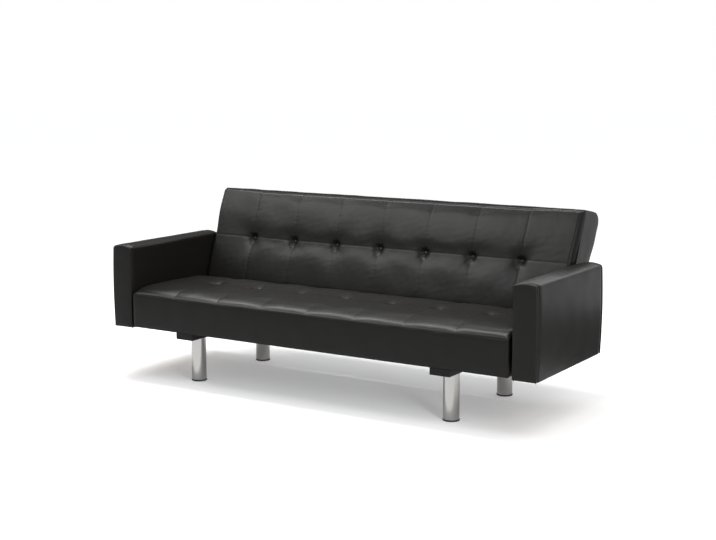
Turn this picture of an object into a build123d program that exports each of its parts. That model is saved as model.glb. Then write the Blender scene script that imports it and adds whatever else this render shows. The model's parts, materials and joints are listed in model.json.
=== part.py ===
from build123d import *
import math
import os

# Sofa bed with a click-clack back, in millimetres. +Z is up, the sofa faces -Y and its length runs along X.
# While it is drawn, y is the depth behind the front face of the arms and z the height above the floor.

# Overall plan
overall_width = 2000.0
side_gap = 12.0  # between an arm and the ends of seat and back, where the hinges sit
contact_clearance = 0.05  # around pins, bolts and screws in their holes

# Legs
leg_diameter = 63.5
leg_wall = 1.5
leg_cap = 4.0
leg_top = 190.0
leg_inset = 391.0  # from the end of the sofa to the middle of a leg, and of a cross beam
leg_front_depth = 96.0
leg_rear_depth = 556.0
foot_flange_height = 7.0
foot_flange_lip = 1.2
foot_plug_length = 24.0
foot_chamfer = 1.5
stud_diameter = 10.0
stud_in_beam = 20.0

# Cross beams and rear stretcher
beam_width = 87.0
beam_thickness = 27.0
beam_front_depth = 2.0
beam_rear_inset = 10.0  # from the rear of the arms to the ends of beams
beam_edge_radius = 3.0
stretcher_inset = 2.0  # from the ends of the beams
stretcher_width = 26.0
stretcher_height = 28.0
beam_bolt_diameter = 8.0
beam_bolt_head = 16.0
beam_bolt_head_height = 5.0
beam_bolt_depths = (150.0, 390.0)

# Seat
seat_depth = 486.0
seat_level = 377.0
seat_lip = 19.0  # from the seat level down to the top of the border panels
seat_tuft_depth = 300.0
seat_tuft_sink = 9.0
seat_edge_rise = 6.0
seat_crown = 9.0
border_thickness = 12.0
rail_thickness = 25.0
rail_top = 300.0
cross_rail_width = 70.0
cross_rail_height = 40.0
webbing_thickness = 1.5
webbing_width = 60.0
dust_cover_thickness = 1.0

# Sewn panels, seams and buttons of both pads
panel_count = 8
seam_nip = 3.0  # how far the cover is drawn in at each seam
seam_drop = 9.0  # how far a seam lies below the middle of its panel
seam_crown = 0.6  # crown along a seam, as a share of the crown of the panel
middle_sink = 0.33  # sink of the button row between two buttons, as a share of that at a button
roll_run = 30.0
roll_bulge = (0.22, 0.72)  # place of the roll's fullest point, as shares of its run and height
button_diameter = 26.0
button_rim = 4.0
button_dome = 4.0
button_sink = 4.0

# Arms
arm_width = 100.0
arm_depth = 610.0
arm_bottom = 210.0
arm_shoulder = 565.0
arm_crown = 5.0
arm_bulge = 4.0
arm_edge_radius = 14.0
facing_thickness = 14.0
facing_edge_radius = 6.0
arm_padding = 7.0
arm_top_padding = 24.0
arm_board = 12.0
arm_rib = 30.0
arm_floor = 4.0
arm_bolt_diameter = 8.0
arm_bolt_head = 18.0
arm_bolt_head_height = 5.0
arm_bolt_places = ((110.0, 270.0), (240.0, 250.0))
spacer_diameter = 40.0

# Back, drawn lying level with the seat and then turned up about the hinge pins
pivot_depth = 545.0
pivot_height = 332.0
back_lean = 20.4  # from the vertical, in the sitting position
back_level = 380.5  # height of the front face when it lies flat
back_foot = 30.0  # how far the lower end reaches past the pivot
back_length = 476.0
back_end_clearance = 1.0
back_foot_thickness = 121.0
back_head_thickness = 174.0
back_head_overhang = 30.0  # how much longer the rear face is than the front face
back_head_radius = 40.0
back_lip = 15.0
back_pad_depth = 70.0
back_tuft_place = 251.0
back_tuft_sink = 4.0
back_edge_rise = 4.0
back_crown = 12.0
back_upright_width = 60.0

# Click-clack hinges, built up outward from the ends of the seat
plate_thickness = 2.5
plate_play = 0.3
plate_radius = 38.0
strap_end_radius = 16.0
pin_diameter = 10.0
pin_head_diameter = 20.0
pin_head_height = 2.4
ratchet_thickness = 2.5
ratchet_crest_radius = 30.0
ratchet_root_radius = 25.5
ratchet_teeth = 6
ratchet_pitch = 13.9
ratchet_first_angle = 200.0
seat_strap_end = (300.0, 262.0)  # depth and height on the end of the seat
back_strap_reach = (215.0, -44.0)
joggle_start = 46.0
joggle_end = 60.0
seat_screw_shares = (0.62, 0.8, 0.95)
back_screw_shares = (0.72, 0.95)
screw_diameter = 4.0
screw_length = 24.0
screw_head_diameter = 8.0
screw_head_height = 2.2
pawl_pivot_distance = 50.0
pawl_pivot_angle = 205.0
pawl_nose_angle = 235.0
pawl_clearance = 0.4
pawl_boss_radius = 7.0
pawl_nose_radius = 2.5
pawl_pin_diameter = 6.0
pawl_pin_head = 9.0
pawl_pin_head_height = 0.8
spring_wire = 1.2
spring_loop_radius = 5.6
spring_leg = 17.0

# Places worked out from the sizes above
half_width = overall_width / 2
arm_inner = half_width - arm_width
seat_half = arm_inner - side_gap
back_half = seat_half - back_end_clearance
beam_top = leg_top + beam_thickness
frame_bottom = beam_top + dust_cover_thickness
border_top = seat_level - seat_lip
pad_bottom = rail_top + webbing_thickness
frame_half = seat_half - border_thickness
rail_front = border_thickness
rail_rear = seat_depth - border_thickness
leg_place = half_width - leg_inset
beam_places = (-leg_place, leg_place)
fold_angle = 90 - back_lean
back_start = pivot_depth - back_foot
back_end = back_start + back_length
sides = {"left": -1, "right": 1}

parts = {}


def block(x, y, z):
    """A squared board between three pairs of limits."""
    return Pos(x[0], y[0], z[0]) * Box(x[1] - x[0], y[1] - y[0], z[1] - z[0], align=(Align.MIN,) * 3)


def board(outline, x_from, x_to):
    """A board of any side outline, given as (y, z) points, between two x places."""
    return extrude(Plane.YZ.offset(x_from) * make_face(Polyline(*outline, close=True)), x_to - x_from)


def upright_bar(diameter, place, z_from, z_to):
    """A round bar that stands at an (x, y) place."""
    bar = Cylinder(diameter / 2, z_to - z_from, align=(Align.CENTER, Align.CENTER, Align.MIN))
    return Pos(*place, z_from) * bar


def cross_bar(diameter, place, x_from, x_to):
    """A round bar that lies along X at a (y, z) place."""
    return extrude(Plane.YZ.offset(x_from) * Pos(*place) * Circle(diameter / 2), x_to - x_from)


def both_sides(name, right_piece):
    """Keep a piece of the right side and its mirror image of the left side."""
    parts[name + "_right"] = right_piece
    parts[name + "_left"] = mirror(right_piece, Plane.YZ)


def group(pieces):
    """Like pieces kept together as separate solids."""
    return Compound([solid for piece in pieces for solid in piece.solids()])


def pairs(right_pieces):
    """Like pieces of the right side together with their mirror images."""
    return group(right_pieces + [mirror(piece, Plane.YZ) for piece in right_pieces])


def pad_section(x, fullness, length, depth, lip, tuft, sink, rise, crown):
    """Side outline of a tufted pad at x: fullness is 0 on a seam and 1 in the middle of a panel."""
    nip = seam_nip * (1 - fullness)
    edge = rise - seam_drop * (1 - fullness)
    valley = edge - sink * (1 - fullness + middle_sink * fullness)
    top = (edge + valley) / 2 + crown * (seam_crown + (1 - seam_crown) * fullness)
    roll_in = nip + roll_bulge[0] * roll_run
    roll_up = -lip + roll_bulge[1] * (edge + lip)
    inner = border_thickness
    line = [
        Polyline((inner, -depth), (inner, -lip), (nip, -lip)),
        ThreePointArc((nip, -lip), (roll_in, roll_up), (roll_run, edge)),
        ThreePointArc((roll_run, edge), ((roll_run + tuft) / 2, top), (tuft, valley)),
        ThreePointArc((tuft, valley), ((tuft + length - roll_run) / 2, top), (length - roll_run, edge)),
        ThreePointArc((length - roll_run, edge), (length - roll_in, roll_up), (length - nip, -lip)),
        Polyline((length - nip, -lip), (length - inner, -lip), (length - inner, -depth), (inner, -depth)),
    ]
    return Plane.YZ.offset(x) * make_face(line)


def tufted_pad(half, length, depth, lip, tuft, sink, rise, crown):
    """Foam and sewn cover: swelling panels side by side, with a pocket for each button."""
    panel = 2 * half / panel_count
    shape = (length, depth, lip, tuft, sink, rise, crown)
    panels = []
    for i in range(panel_count):
        start = -half + i * panel
        stations = ((start, 0), (start + panel / 2, 1), (start + panel, 0))
        panels.append(loft([pad_section(x, fullness, *shape) for x, fullness in stations]))
    pad = panels[0].fuse(*panels[1:])
    for side in (-1, 1):
        pad -= block(sorted((side * half, side * (half - border_thickness))), (0, length), (-depth, -lip))
    floor = rise - seam_drop - sink - button_sink
    pocket = button_diameter + 2 * contact_clearance
    for i in range(1, panel_count):
        pad -= upright_bar(pocket, (-half + i * panel, tuft), floor, rise + crown)
    return pad


def button_row(half, tuft, sink, rise):
    """The covered buttons of one pad, each a low dome on a straight rim."""
    top = button_rim + button_dome
    ball = ((button_diameter / 2) ** 2 + button_dome**2) / (2 * button_dome)
    button = upright_bar(button_diameter, (0, 0), 0, top) & Pos(0, 0, top - ball) * Sphere(ball)
    floor = rise - seam_drop - sink - button_sink
    places = [(-half + i * 2 * half / panel_count, tuft, floor) for i in range(1, panel_count)]
    return group([Pos(*place) * button for place in places])


def straps(half, y, z):
    """Elastic webbing: one strap under the middle of each panel."""
    pitch = 2 * half / panel_count
    centres = [-half + (i + 0.5) * pitch for i in range(panel_count)]
    return group([block((c - webbing_width / 2, c + webbing_width / 2), y, z) for c in centres])


# Seat pad, its buttons and the covered border panels below it
seat_shape = (seat_tuft_depth, seat_tuft_sink, seat_edge_rise, seat_crown)
seat_pad = tufted_pad(seat_half, seat_depth, seat_level - pad_bottom, seat_lip, *seat_shape)
parts["seat_pad"] = Pos(0, 0, seat_level) * seat_pad
parts["seat_buttons"] = Pos(0, 0, seat_level) * button_row(seat_half, *seat_shape[:3])
border_heights = (beam_top, border_top)
parts["seat_front_panel"] = block((-seat_half, seat_half), (0, border_thickness), border_heights)
parts["seat_rear_panel"] = block((-frame_half, frame_half), (rail_rear, seat_depth), border_heights)
seat_end_panel = block((frame_half, seat_half), (border_thickness, seat_depth), border_heights)

# Seat frame: four rails, two cross rails over the beams, webbing on top and a cloth below
rail_heights = (frame_bottom, rail_top)
end_rail_span = (rail_front + rail_thickness, rail_rear - rail_thickness)
parts["seat_front_rail"] = block((-frame_half, frame_half), (rail_front, end_rail_span[0]), rail_heights)
parts["seat_rear_rail"] = block((-frame_half, frame_half), (end_rail_span[1], rail_rear), rail_heights)
seat_end_rail = block((frame_half - rail_thickness, frame_half), end_rail_span, rail_heights)
cross_rails = [
    block(
        (x - cross_rail_width / 2, x + cross_rail_width / 2),
        end_rail_span,
        (frame_bottom, frame_bottom + cross_rail_height),
    )
    for x in beam_places
]
parts["seat_webbing"] = straps(frame_half, (rail_front, rail_rear), (rail_top, pad_bottom))
dust_cover = block((-frame_half, frame_half), (rail_front, rail_rear), (beam_top, frame_bottom))

# Cross beams, with the bolts that hold the seat frame and the rear stretcher down on them
beam_rear = arm_depth - beam_rear_inset
stretcher_depth = beam_rear - stretcher_inset - stretcher_width
stretcher_span = (stretcher_depth, stretcher_depth + stretcher_width)
stretcher_heights = (beam_top, beam_top + stretcher_height)
stretcher = block((-arm_inner, arm_inner), stretcher_span, stretcher_heights)
bolt_tops = {y: frame_bottom + cross_rail_height for y in beam_bolt_depths}
bolt_tops[stretcher_depth + stretcher_width / 2] = stretcher_heights[1]


def beam_bolt(place, top, room):
    """A bolt from below with its head let into the beam, or its hole where room is the clearance."""
    head = upright_bar(beam_bolt_head + 2 * room, place, leg_top, leg_top + beam_bolt_head_height)
    return head + upright_bar(beam_bolt_diameter + 2 * room, place, leg_top, top)


bolt_places = [((x, y), top) for x in beam_places for y, top in bolt_tops.items()]
bolts = [beam_bolt(place, top, 0) for place, top in bolt_places]
bolt_holes = [beam_bolt(place, top, contact_clearance) for place, top in bolt_places]
parts["beam_bolts"] = group(bolts)
parts["seat_cross_rails"] = group([rail - bolt_holes for rail in cross_rails])
parts["seat_dust_cover"] = dust_cover - bolt_holes
parts["rear_stretcher"] = stretcher - bolt_holes

# Legs: a chrome tube with a welded cap, a stud into the beam above and a plastic foot below
tube_bottom = foot_flange_height
tube_bore = leg_diameter - 2 * leg_wall
stud_top = leg_top + stud_in_beam
feet = []
studs = []
stud_holes = []
for side, sign in sides.items():
    for end, y in (("front", leg_front_depth), ("rear", leg_rear_depth)):
        place = (sign * leg_place, y)
        tube = upright_bar(leg_diameter, place, tube_bottom, leg_top)
        tube -= upright_bar(tube_bore, place, tube_bottom, leg_top - leg_cap)
        stud_hole = upright_bar(stud_diameter + 2 * contact_clearance, place, leg_top - leg_cap, stud_top)
        parts[f"leg_{end}_{side}"] = tube - stud_hole
        stud_holes.append(stud_hole)
        studs.append(upright_bar(stud_diameter, place, leg_top - leg_cap, stud_top))
        flange = upright_bar(leg_diameter + 2 * foot_flange_lip, place, 0, foot_flange_height)
        flange = chamfer(flange.edges().group_by(Axis.Z)[0], foot_chamfer)
        plug_top = foot_flange_height + foot_plug_length
        plug = upright_bar(tube_bore - 2 * contact_clearance, place, foot_flange_height, plug_top)
        feet.append(flange + plug)
parts["leg_feet"] = group(feet)
parts["leg_studs"] = group(studs)
for side, x in zip(sides, beam_places):
    beam_x = (x - beam_width / 2, x + beam_width / 2)
    beam = block(beam_x, (beam_front_depth, beam_rear), (leg_top, beam_top))
    beam = fillet(beam.edges().filter_by(Axis.Y), beam_edge_radius)
    parts["cross_beam_" + side] = beam - stud_holes - bolt_holes

# Arms: two boards with ribs between them inside a padded cover, and a sewn facing on the front
outer_edge = half_width - arm_bulge
shoulder = arm_shoulder - arm_edge_radius
corner = arm_edge_radius * (1 - math.sqrt(0.5))
arm_outline = [
    Polyline((arm_inner, shoulder), (arm_inner, arm_bottom), (outer_edge, arm_bottom)),
    ThreePointArc(
        (outer_edge, arm_bottom),
        (half_width, (arm_bottom + shoulder) / 2),
        (outer_edge, shoulder),
    ),
    ThreePointArc(
        (outer_edge, shoulder),
        (outer_edge - corner, arm_shoulder - corner),
        (outer_edge - arm_edge_radius, arm_shoulder),
    ),
    ThreePointArc(
        (outer_edge - arm_edge_radius, arm_shoulder),
        ((arm_inner + outer_edge) / 2, arm_shoulder + arm_crown),
        (arm_inner + arm_edge_radius, arm_shoulder),
    ),
    ThreePointArc(
        (arm_inner + arm_edge_radius, arm_shoulder),
        (arm_inner + corner, arm_shoulder - corner),
        (arm_inner, shoulder),
    ),
]
arm_face = Plane.XZ * make_face(arm_outline)
facing = extrude(Pos(0, facing_thickness, 0) * arm_face, facing_thickness)
facing = fillet(facing.faces().sort_by(Axis.Y)[0].edges(), facing_edge_radius)
arm_body = extrude(Pos(0, arm_depth, 0) * arm_face, arm_depth - facing_thickness)
arm_body = fillet(arm_body.faces().sort_by(Axis.Y)[-1].edges(), facing_edge_radius)
core_x = (arm_inner + arm_padding, outer_edge - arm_padding)
core_y = (facing_thickness + arm_padding, arm_depth - arm_padding)
core_z = (arm_bottom, arm_shoulder - arm_top_padding)
arm_cover = arm_body - block(core_x, core_y, core_z)
board_z = (arm_bottom + arm_floor, core_z[1])
inner_board = block((core_x[0], core_x[0] + arm_board), core_y, board_z)
outer_board = block((core_x[1] - arm_board, core_x[1]), core_y, board_z)
rib_x = (core_x[0] + arm_board, core_x[1] - arm_board)
ribs = [
    block(rib_x, (core_y[0], core_y[0] + arm_rib), board_z),
    block(rib_x, (core_y[1] - arm_rib, core_y[1]), board_z),
    block(rib_x, (core_y[0] + arm_rib, core_y[1] - arm_rib), (core_z[1] - arm_rib, core_z[1])),
    block(rib_x, (core_y[0] + arm_rib, core_y[1] - arm_rib), (board_z[0], board_z[0] + arm_rib)),
]
bottom_board = block(core_x, core_y, (arm_bottom, arm_bottom + arm_floor))

# Each arm is bolted to the end rail of the seat from inside, over spacer discs
rail_inside = frame_half - rail_thickness
arm_bolts = []
arm_bolt_holes = []
arm_spacers = []
for place in arm_bolt_places:
    head = cross_bar(arm_bolt_head, place, rail_inside - arm_bolt_head_height, rail_inside)
    arm_bolts.append(head + cross_bar(arm_bolt_diameter, place, rail_inside, rib_x[0]))
    hole = cross_bar(arm_bolt_diameter + 2 * contact_clearance, place, rail_inside, rib_x[0])
    arm_bolt_holes.append(hole)
    arm_spacers.append(cross_bar(spacer_diameter, place, seat_half, arm_inner) - hole)
both_sides("arm_cover", arm_cover - arm_bolt_holes)
both_sides("arm_facing", facing)
parts["arm_inner_boards"] = pairs([inner_board - arm_bolt_holes])
parts["arm_outer_boards"] = pairs([outer_board])
parts["arm_bottom_boards"] = pairs([bottom_board])
parts["arm_ribs"] = pairs(ribs)
parts["arm_bolts"] = pairs(arm_bolts)
parts["arm_spacers"] = pairs(arm_spacers)

# Back: pad, buttons, border panels and frame, drawn lying flat behind the seat
back = {}
rear_slope = (back_head_thickness - back_foot_thickness) / back_length


def rear_height(y, inset=0.0):
    """Height of the rear face at y while the back lies flat, or of a line inset from it."""
    return back_level - back_foot_thickness - rear_slope * (y - back_start) + inset


back_shape = (back_tuft_place, back_tuft_sink, back_edge_rise, back_crown)
back_pad = tufted_pad(back_half, back_length, back_pad_depth, back_lip, *back_shape)
back["back_pad"] = Pos(0, back_start, back_level) * back_pad
back["back_buttons"] = Pos(0, back_start, back_level) * button_row(back_half, *back_shape[:3])
back_lip_height = back_level - back_lip
back_inner_half = back_half - border_thickness
foot_inner = back_start + border_thickness


def head_outline(inset):
    """Rounded rear corner at the top end of the back, inset from the outer faces: start, middle and end."""
    lean = math.atan(back_head_overhang / back_head_thickness)
    slope = math.atan(rear_slope)
    up_head = Vector(-math.sin(lean), math.cos(lean))
    down_rear = Vector(-math.cos(slope), math.sin(slope))
    head_point = Vector(back_end - inset / math.cos(lean), back_level)
    rear_point = Vector(back_start, rear_height(back_start, inset / math.cos(slope)))
    across = rear_point - head_point
    reach = (across.X * down_rear.Y - across.Y * down_rear.X) / up_head.cross(down_rear).Z
    turn_corner = head_point + up_head * reach
    radius = back_head_radius - inset
    half_turn = math.radians(up_head.get_angle(down_rear)) / 2
    run = radius / math.tan(half_turn)
    inward = (up_head + down_rear).normalized()
    middle = turn_corner + inward * (radius / math.sin(half_turn) - radius)
    points = (turn_corner + up_head * run, middle, turn_corner + down_rear * run)
    return [(point.X, point.Y) for point in points]


def head_place(height, inset=0.0):
    """Depth of the top end of the back at a height while it lies flat."""
    lean = math.atan(back_head_overhang / back_head_thickness)
    return back_end + (back_level - height) * math.tan(lean) - inset / math.cos(lean)


outer_start, outer_middle, outer_tangent = head_outline(0)
inner_start, inner_middle, inner_tangent = head_outline(border_thickness)
top_face = [
    Polyline(
        inner_start,
        (head_place(back_lip_height, border_thickness), back_lip_height),
        (head_place(back_lip_height), back_lip_height),
        outer_start,
    ),
    ThreePointArc(outer_start, outer_middle, outer_tangent),
    Line(outer_tangent, inner_tangent),
    ThreePointArc(inner_tangent, inner_middle, inner_start),
]
back["back_top_panel"] = extrude(
    Plane.YZ.offset(-back_inner_half) * make_face(top_face), 2 * back_inner_half
)
rear_inset = border_thickness * math.hypot(1, rear_slope)
foot_low = (back_start, rear_height(back_start))
foot_high = (back_start, rear_height(back_start, rear_inset))
back["back_rear_panel"] = board(
    [foot_low, outer_tangent, inner_tangent, foot_high], -back_inner_half, back_inner_half
)
back["back_bottom_panel"] = board(
    [
        foot_high,
        (foot_inner, rear_height(foot_inner, rear_inset)),
        (foot_inner, back_lip_height),
        (back_start, back_lip_height),
    ],
    -back_inner_half,
    back_inner_half,
)
end_face = [
    Polyline(
        outer_tangent,
        foot_low,
        (back_start, back_lip_height),
        (head_place(back_lip_height), back_lip_height),
        outer_start,
    ),
    ThreePointArc(outer_start, outer_middle, outer_tangent),
]
back_end_panel = extrude(Plane.YZ.offset(back_inner_half) * make_face(end_face), border_thickness)

# Back frame: end posts and uprights wedge-shaped between pad and rear panel, rails between the posts
frame_high = back_level - back_pad_depth - webbing_thickness
post_start = foot_inner
post_end = inner_tangent[0]
post_outline = [
    (post_start, rear_height(post_start, rear_inset)),
    (post_end, rear_height(post_end, rear_inset)),
    (post_end, frame_high),
    (post_start, frame_high),
]
post_half = back_inner_half - rail_thickness
back_end_post = board(post_outline, post_half, back_inner_half)


def rail_between(y_from, y_to):
    """A rail across the back between the end posts, as deep as the back is there."""
    outline = [
        (y_from, rear_height(y_from, rear_inset)),
        (y_to, rear_height(y_to, rear_inset)),
        (y_to, frame_high),
        (y_from, frame_high),
    ]
    return board(outline, -post_half, post_half)


back["back_bottom_rail"] = rail_between(post_start, post_start + rail_thickness)
back["back_top_rail"] = rail_between(post_end - rail_thickness, post_end)
upright_y = (post_start + rail_thickness, post_end - rail_thickness)
back["back_uprights"] = group(
    [
        block(
            (x - back_upright_width / 2, x + back_upright_width / 2),
            upright_y,
            (frame_high - rail_thickness, frame_high),
        )
        for x in beam_places
    ]
)
webbing_heights = (frame_high, frame_high + webbing_thickness)
back["back_webbing"] = straps(back_inner_half, (post_start, post_end), webbing_heights)

# Click-clack hinge of the right side, in layers outward: seat plate, ratchet and pawl, back plate, pin head
ratchet_from = seat_half + plate_thickness + plate_play
ratchet_to = ratchet_from + ratchet_thickness
back_plate_to = ratchet_to + plate_thickness
pivot = (pivot_depth, pivot_height)
bore = pin_diameter + 2 * contact_clearance
seat_strap_reach = (seat_strap_end[0] - pivot_depth, seat_strap_end[1] - pivot_height)


def strap_face(reach):
    """Stamped outline of a hinge plate about the pivot: a disc that tapers to a rounded strap end."""
    rings = [Circle(plate_radius).edges()[0], (Pos(*reach) * Circle(strap_end_radius)).edges()[0]]
    return Pos(*pivot) * make_hull(rings)


def strap_points(reach, shares):
    """Places along the middle of a strap, as shares of its reach from the pivot."""
    return [(pivot_depth + share * reach[0], pivot_height + share * reach[1]) for share in shares]


def from_pivot(distance, angle):
    """A (y, z) place at a distance and an angle from the pivot, counted from the rear upward."""
    turn = math.radians(angle)
    return pivot_depth + distance * math.cos(turn), pivot_height + distance * math.sin(turn)


def screw(place, face_x):
    """A pan-head screw driven towards the middle of the sofa, with its head on face_x."""
    head = cross_bar(screw_head_diameter, place, face_x, face_x + screw_head_height)
    return head + cross_bar(screw_diameter, place, face_x - screw_length, face_x)


def screw_hole(place, face_x):
    """The clear hole for such a screw."""
    return cross_bar(screw_diameter + 2 * contact_clearance, place, face_x - screw_length, face_x)


pawl_pivot = from_pivot(pawl_pivot_distance, pawl_pivot_angle)
seat_screw_places = strap_points(seat_strap_reach, seat_screw_shares)
seat_screw_face = seat_half + plate_thickness
seat_screws = [screw(place, seat_screw_face) for place in seat_screw_places]
seat_screw_holes = [screw_hole(place, seat_screw_face) for place in seat_screw_places]
pin_hole = cross_bar(bore, pivot, seat_half, back_plate_to)
pawl_hole = cross_bar(pawl_pin_diameter + 2 * contact_clearance, pawl_pivot, seat_half, ratchet_to)
seat_plate = extrude(Plane.YZ.offset(seat_half) * strap_face(seat_strap_reach), plate_thickness)
both_sides("hinge_seat_plate", seat_plate - pin_hole - pawl_hole - seat_screw_holes)
seat_end_pieces = {"seat_end_panel": seat_end_panel, "seat_end_rail": seat_end_rail}
for name, piece in seat_end_pieces.items():
    both_sides(name, piece - seat_screw_holes - arm_bolt_holes)
parts["seat_hinge_screws"] = pairs(seat_screws)

# Pivot pin: fixed in the seat plate, with a flat head over the back plate
pin_end = back_plate_to + plate_play
pin = cross_bar(pin_diameter, pivot, seat_half, pin_end)
parts["hinge_pins"] = pairs([pin + cross_bar(pin_head_diameter, pivot, pin_end, pin_end + pin_head_height)])

# Pawl and its pin: the nose stands just clear of the tooth crests
nose = from_pivot(ratchet_crest_radius + pawl_clearance + pawl_nose_radius, pawl_nose_angle)
boss_ring = (Pos(*pawl_pivot) * Circle(pawl_boss_radius)).edges()[0]
nose_ring = (Pos(*nose) * Circle(pawl_nose_radius)).edges()[0]
pawl_blank = extrude(Plane.YZ.offset(ratchet_from) * make_hull([boss_ring, nose_ring]), ratchet_thickness)
both_sides("hinge_pawl", pawl_blank - pawl_hole)
spring_from = ratchet_to
pawl_pin_end = spring_from + spring_wire + plate_play
pawl_pin = cross_bar(pawl_pin_diameter, pawl_pivot, seat_half, pawl_pin_end)
pawl_pin += cross_bar(pawl_pin_head, pawl_pivot, pawl_pin_end, pawl_pin_end + pawl_pin_head_height)
parts["pawl_pins"] = pairs([pawl_pin])

# Hairpin spring: a bent flat wire round the pawl pin, one leg on the pawl and one free against the strap
spring_inner = spring_loop_radius - spring_wire
nose_turn = math.degrees(math.atan2(nose[1] - pawl_pivot[1], nose[0] - pawl_pivot[0]))
loop = Circle(spring_loop_radius) - Circle(spring_inner)
leg_offset = (spring_loop_radius + spring_inner) / 2
leg_blank = Pos(spring_leg / 2, -leg_offset) * Rectangle(spring_leg, spring_wire)
rest_leg = Pos(spring_leg / 2, leg_offset) * Rectangle(spring_leg, spring_wire)
spring_face = Rot(0, 0, nose_turn) * (loop + leg_blank) + Rot(0, 0, nose_turn + 100) * rest_leg
spring = extrude(Plane.YZ.offset(spring_from) * Pos(*pawl_pivot) * spring_face, spring_wire)
both_sides("pawl_spring", spring)

# Ratchet wheel: saw teeth over the arc that passes the pawl, plain below the crests elsewhere
ratchet_outline = []
for i in range(ratchet_teeth):
    angle = ratchet_first_angle + i * ratchet_pitch
    ratchet_outline.append(from_pivot(ratchet_crest_radius, angle))
    ratchet_outline.append(from_pivot(ratchet_root_radius, angle))
last_angle = ratchet_first_angle + ratchet_teeth * ratchet_pitch
ratchet_outline.append(from_pivot(ratchet_crest_radius, last_angle))
ratchet_outline.append(pivot)
toothed = make_face(Polyline(*ratchet_outline, close=True)) + Pos(*pivot) * Circle(ratchet_root_radius)
ratchet = extrude(Plane.YZ.offset(ratchet_from) * toothed, ratchet_thickness)

# Back plate: level over the ratchet, then joggled in to lie on the end panel of the back
strap_length = math.hypot(*back_strap_reach)
strap_turn = math.degrees(math.atan2(back_strap_reach[1], back_strap_reach[0]))
strap_profile = [
    (-plate_radius, ratchet_to),
    (joggle_start, ratchet_to),
    (joggle_end, back_half),
    (strap_length + strap_end_radius, back_half),
    (strap_length + strap_end_radius, back_half + plate_thickness),
    (joggle_end, back_half + plate_thickness),
    (joggle_start, back_plate_to),
    (-plate_radius, back_plate_to),
]
profile_plane = Plane(origin=(0, 0, -plate_radius), x_dir=(0, 1, 0), z_dir=(0, 0, -1))
formed_strip = extrude(profile_plane * make_face(Polyline(*strap_profile, close=True)), -2 * plate_radius)
formed_strip = Pos(0, *pivot) * Rot(strap_turn, 0, 0) * formed_strip
blank = extrude(Plane.YZ.offset(back_half) * strap_face(back_strap_reach), back_plate_to - back_half)
back_screw_places = strap_points(back_strap_reach, back_screw_shares)
back_screw_face = back_half + plate_thickness
back_screws = [screw(place, back_screw_face) for place in back_screw_places]
back_screw_holes = [screw_hole(place, back_screw_face) for place in back_screw_places]
back["back_hinge_screws"] = pairs(back_screws)
back_sides = {
    "back_end_panel": back_end_panel - back_screw_holes,
    "back_end_post": back_end_post - back_screw_holes,
    "hinge_back_plate": (formed_strip & blank) - pin_hole - back_screw_holes,
}
for name, piece in back_sides.items():
    back[name + "_right"] = piece
    back[name + "_left"] = mirror(piece, Plane.YZ)

# Turn the whole back up into the sitting position, together with its plates
hinge_line = Axis((0, *pivot), (1, 0, 0))
for name, piece in back.items():
    parts[name] = piece.rotate(hinge_line, fold_angle)
parts["hinge_ratchets"] = pairs([ratchet - pin_hole])

# The origin is on the floor under the middle of the sofa's depth
rear_most = parts["back_end_panel_right"].bounding_box().max.Y
to_origin = Pos(0, -rear_most / 2, 0)
os.makedirs("parts", exist_ok=True)
for name, piece in parts.items():
    export_step(to_origin * piece, f"parts/{name}.step")
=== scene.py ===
import json
import math

import bmesh
import bpy
import numpy as np
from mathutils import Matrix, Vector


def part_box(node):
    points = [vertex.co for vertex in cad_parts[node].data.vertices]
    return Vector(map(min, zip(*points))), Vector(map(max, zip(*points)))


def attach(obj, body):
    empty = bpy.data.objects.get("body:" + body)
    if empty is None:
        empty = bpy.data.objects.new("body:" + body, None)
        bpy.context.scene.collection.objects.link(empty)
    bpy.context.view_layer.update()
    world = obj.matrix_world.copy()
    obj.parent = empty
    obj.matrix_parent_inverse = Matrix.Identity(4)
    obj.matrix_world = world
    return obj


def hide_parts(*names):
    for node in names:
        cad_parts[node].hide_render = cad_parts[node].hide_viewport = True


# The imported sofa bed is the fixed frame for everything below, in metres.
# The camera stands where the photographer stood: at the right, above sitting height, with a long lens.
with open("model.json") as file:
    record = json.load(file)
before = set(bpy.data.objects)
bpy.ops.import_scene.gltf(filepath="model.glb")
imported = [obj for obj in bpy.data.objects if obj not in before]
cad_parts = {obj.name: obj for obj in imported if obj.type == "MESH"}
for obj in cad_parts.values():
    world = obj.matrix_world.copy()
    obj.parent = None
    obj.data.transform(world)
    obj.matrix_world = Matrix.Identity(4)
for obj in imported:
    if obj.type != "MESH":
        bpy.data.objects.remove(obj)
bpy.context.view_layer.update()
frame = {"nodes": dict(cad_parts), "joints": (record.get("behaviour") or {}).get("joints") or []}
scene = bpy.context.scene
scene.view_settings.view_transform = "Standard"
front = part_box("arm_facing_left")[0].y
photo_width = 716
focal_length = 1334.13  # in pixels of the photograph
camera_data = bpy.data.cameras.new("photo_camera")
camera_data.sensor_width = 36.0
camera_data.lens = focal_length * camera_data.sensor_width / photo_width
camera = bpy.data.objects.new("photo_camera", camera_data)
camera.location = (2.9255, front - 4.2510, 1.3439)
camera.rotation_euler = (math.pi / 2 - 0.155, 0.0, 0.5614)
scene.collection.objects.link(camera)
scene.camera = camera


# Four legs of steel tube with a welded cap, each screwed up into a cross beam by a stud.
# They are chrome plated over a polished tube, and stand on black foot plugs pushed into their lower ends.
def linear(hex_colour):
    """An sRGB hex value as the linear colour that a shader takes."""
    shares = [int(hex_colour[i : i + 2], 16) / 255 for i in (1, 3, 5)]
    return [c / 12.92 if c <= 0.04045 else ((c + 0.055) / 1.055) ** 2.4 for c in shares] + [1.0]


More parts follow.
